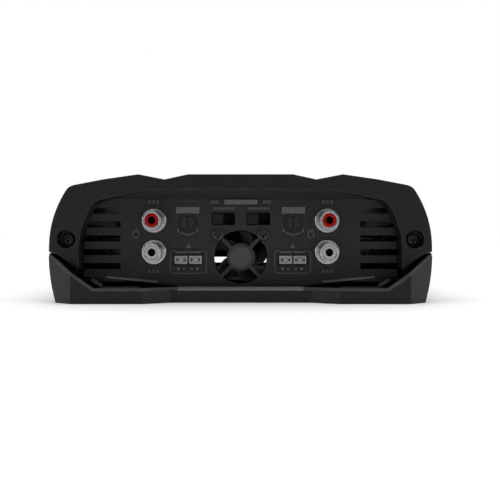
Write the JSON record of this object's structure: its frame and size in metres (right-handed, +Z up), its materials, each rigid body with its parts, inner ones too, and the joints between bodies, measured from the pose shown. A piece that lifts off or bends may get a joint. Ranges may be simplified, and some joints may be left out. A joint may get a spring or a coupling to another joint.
{
  "type": "car amplifier",
  "caption": "Low fan-cooled car amplifier with arched end bezels, phono inputs, gain controls, mode switches, vented panels and screw power terminals.",
  "frame": {"origin": "middle of the flat underside", "axes": "+Z up, control end faces -Y, +X to the right seen from the control end"},
  "size_m": [0.165, 0.2, 0.055],
  "materials": {
    "case_powder": "fine textured black powder coat",
    "panel_powder": "fine textured black powder coat",
    "trim_plate": "black anodised, brushed",
    "black_screw": "black oxide",
    "plain_screw": "zinc plated",
    "fan_screw": "black oxide",
    "fan_plastic": "moulded, satin",
    "rotor_plastic": "moulded, satin",
    "bearing_bronze": "sintered, oiled",
    "copper_wire": "enamelled copper",
    "jack_housing": "moulded",
    "jack_shell": "nickel plated",
    "insert_red": "moulded, satin gloss",
    "insert_white": "moulded, satin gloss",
    "contact_metal": "gold flash",
    "pot_plastic": "moulded",
    "knob_plastic": "moulded, satin",
    "switch_plastic": "moulded",
    "slider_plastic": "moulded, satin",
    "socket_nylon": "natural grey nylon",
    "board_laminate": "black solder mask",
    "standoff_metal": "black oxide",
    "core_ferrite": "ferrite",
    "capacitor_sleeve": "shrink sleeve",
    "inductor_case": "pressed powder",
    "device_epoxy": "moulded epoxy",
    "pad_silicone": "dark grey silicone",
    "bar_steel": "black oxide",
    "terminal_plastic": "moulded",
    "terminal_metal": "nickel plated brass",
    "fuse_body": "translucent green"
  },
  "bodies": {
    "chassis": {"base_tray": "case_powder", "front_bumper": "case_powder", "rear_bumper": "case_powder", "heatsink_shell": "case_powder", "top_plate": "trim_plate", "front_bezel": "case_powder", "rear_bezel": "case_powder", "front_panel": "panel_powder", "rear_panel": "panel_powder", "bezel_screws": "black_screw", "base_screws": "black_screw", "bumper_screws": "black_screw", "fan_frame": "fan_plastic", "fan_bearing": "bearing_bronze", "fan_stator": "copper_wire", "fan_screws": "fan_screw", "rca_block_left": "jack_housing", "rca_block_right": "jack_housing", "rca_shells": "jack_shell", "rca_inserts_red": "insert_red", "rca_inserts_white": "insert_white", "rca_contacts": "contact_metal", "gain_pot_left": "pot_plastic", "gain_pot_right": "pot_plastic", "mode_switch_left": "switch_plastic", "mode_switch_right": "switch_plastic", "input_socket_left": "socket_nylon", "input_socket_right": "socket_nylon", "input_pins": "contact_metal", "main_board": "board_laminate", "control_board": "board_laminate", "board_standoffs": "standoff_metal", "board_screws": "plain_screw", "transformer_core": "core_ferrite", "transformer_winding": "copper_wire", "choke_core": "core_ferrite", "choke_winding": "copper_wire", "bulk_capacitors": "capacitor_sleeve", "output_inductors": "inductor_case", "transistors_left": "device_epoxy", "transistors_right": "device_epoxy", "thermal_pads": "pad_silicone", "clamp_bars": "bar_steel", "clamp_screws": "plain_screw", "control_chips": "device_epoxy", "power_terminal_block": "terminal_plastic", "power_contacts": "terminal_metal", "speaker_socket": "terminal_plastic", "speaker_pins": "contact_metal", "fuse_holder": "terminal_plastic", "fuses": "fuse_body"},
    "fan_rotor": {"fan_impeller": "rotor_plastic", "fan_shaft": "plain_screw"},
    "left_gain": {"gain_knob_left": "knob_plastic"},
    "right_gain": {"gain_knob_right": "knob_plastic"},
    "left_switch": {"switch_slider_left": "slider_plastic"},
    "right_switch": {"switch_slider_right": "slider_plastic"},
    "ground_clamp": {"ground_screw": "plain_screw"},
    "remote_clamp": {"remote_screw": "plain_screw"},
    "supply_clamp": {"supply_screw": "plain_screw"}
  },
  "joints": [
    {"name": "fan_spin", "type": "hinge", "parent": "chassis", "child": "fan_rotor", "pos_m": [0, -0.0735, 0.01905], "axis": [0, -1, 0], "continuous": true},
    {"name": "left_gain_turn", "type": "hinge", "parent": "chassis", "child": "left_gain", "pos_m": [-0.0233, -0.0765, 0.0346], "axis": [0, 1, 0], "range_deg": [-140, 140]},
    {"name": "right_gain_turn", "type": "hinge", "parent": "chassis", "child": "right_gain", "pos_m": [0.0233, -0.0765, 0.0346], "axis": [0, 1, 0], "range_deg": [-140, 140]},
    {"name": "left_switch_slide", "type": "slide", "parent": "chassis", "child": "left_switch", "axis": [1, 0, 0], "range_m": [0, 0.0052]},
    {"name": "right_switch_slide", "type": "slide", "parent": "chassis", "child": "right_switch", "axis": [1, 0, 0], "range_m": [0, 0.0052]},
    {"name": "ground_screw_down", "type": "slide", "parent": "chassis", "child": "ground_clamp", "axis": [0, 0, -1], "range_m": [0, 0.0032]},
    {"name": "remote_screw_down", "type": "slide", "parent": "chassis", "child": "remote_clamp", "axis": [0, 0, -1], "range_m": [0, 0.0017]},
    {"name": "supply_screw_down", "type": "slide", "parent": "chassis", "child": "supply_clamp", "axis": [0, 0, -1], "range_m": [0, 0.0032]}
  ]
}
